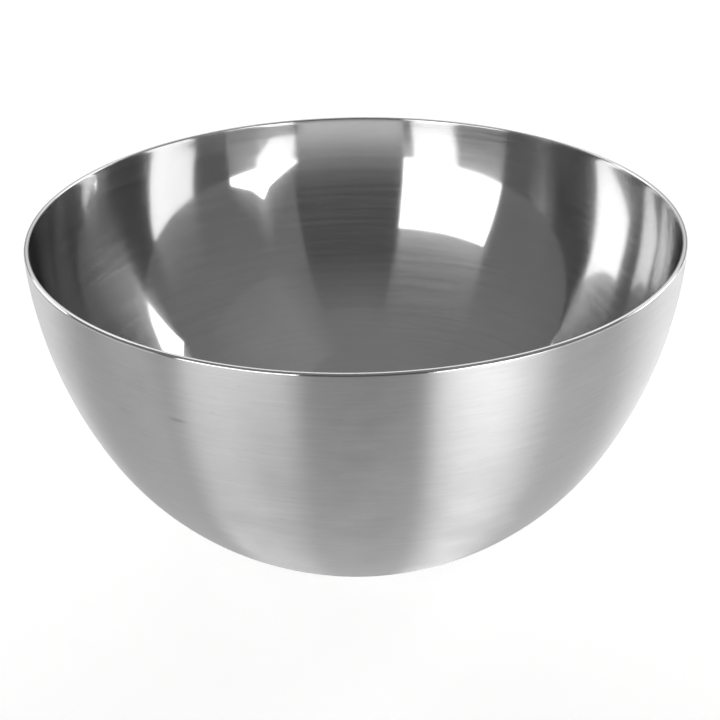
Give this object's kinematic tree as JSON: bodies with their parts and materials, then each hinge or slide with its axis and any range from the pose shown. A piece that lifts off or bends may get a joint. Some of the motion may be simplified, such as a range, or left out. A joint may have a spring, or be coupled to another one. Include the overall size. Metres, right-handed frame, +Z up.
{
  "type": "shaving bowl",
  "caption": "Round stainless steel shaving bowl: brushed outer shell and mirror-polished inner shell with air between, closed by a rounded rim bead, standing on a flat foot ring.",
  "frame": {"origin": "centre of the foot ring, on the surface that the bowl stands on", "axes": "+Z up the bowl's axis and out of its mouth; the bowl is round, so +X and +Y are any two level directions at right angles"},
  "size_m": [0.12, 0.12, 0.06],
  "materials": {
    "brushed_outside": "satin",
    "mirror_inside": "polished",
    "dressed_rim": "polished"
  },
  "bodies": {
    "root": {"outer_shell": "brushed_outside", "inner_shell": "mirror_inside", "rim_bead": "dressed_rim"}
  },
  "joints": []
}
